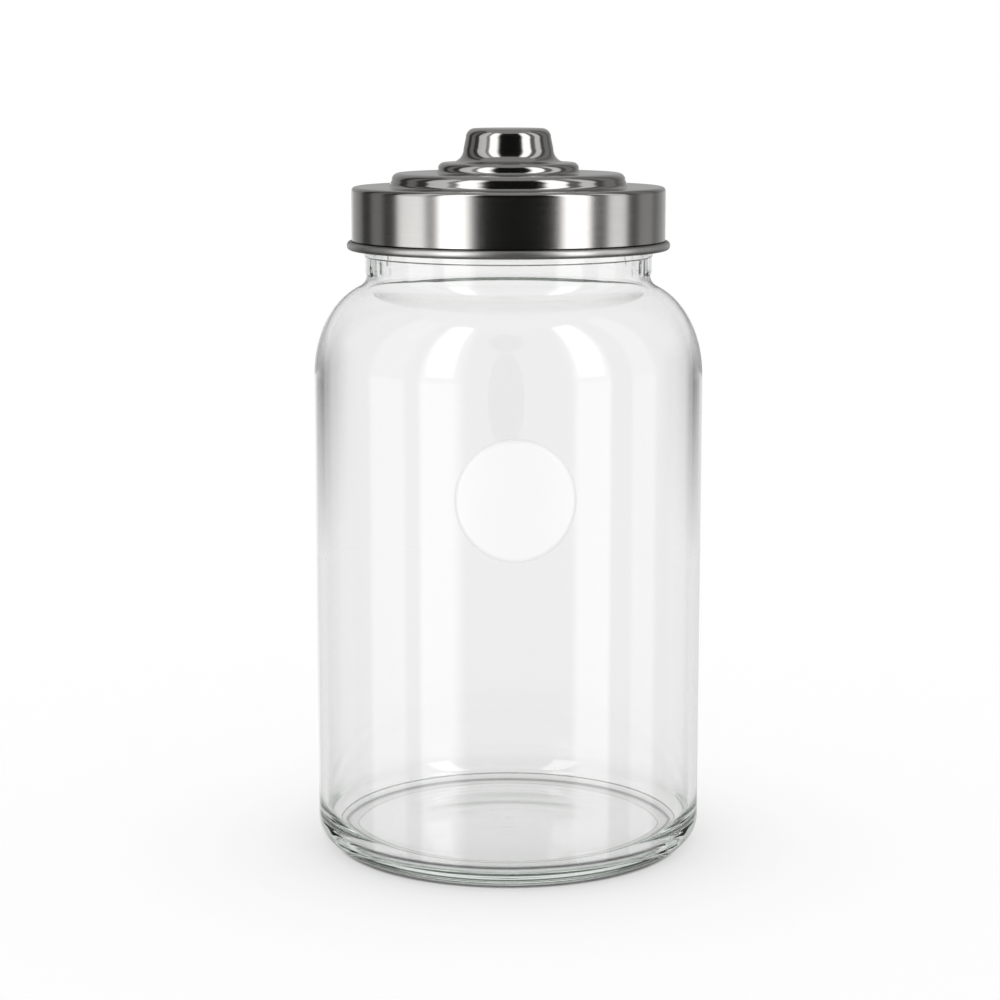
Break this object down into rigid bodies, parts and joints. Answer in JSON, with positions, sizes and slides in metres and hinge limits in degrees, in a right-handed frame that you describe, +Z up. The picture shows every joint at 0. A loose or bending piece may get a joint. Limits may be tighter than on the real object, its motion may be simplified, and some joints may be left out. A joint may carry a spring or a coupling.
{
  "type": "glass storage jar with a stepped steel lid",
  "caption": "Clear glass storage jar with a straight body, round shoulder and short neck, a pressed steel lid with a knob resting on its rim, and a plain round sticker on its front.",
  "frame": {"origin": "centre of the jar's foot, on the surface that it stands on", "axes": "+Z up along the jar's axis, -Y towards the front with the sticker, +X to the right seen from the front"},
  "size_m": [0.15, 0.1505, 0.2796],
  "materials": {
    "glass": "clear moulded soda-lime glass, faintly grey-green where it is thick",
    "steel": "stainless sheet brushed round the lid, with smoother steps and knob",
    "label": "white coated paper, bare, with a thin grey edge"
  },
  "bodies": {
    "root": {"jar": "glass", "lid": "steel", "sticker": "label"}
  },
  "joints": []
}
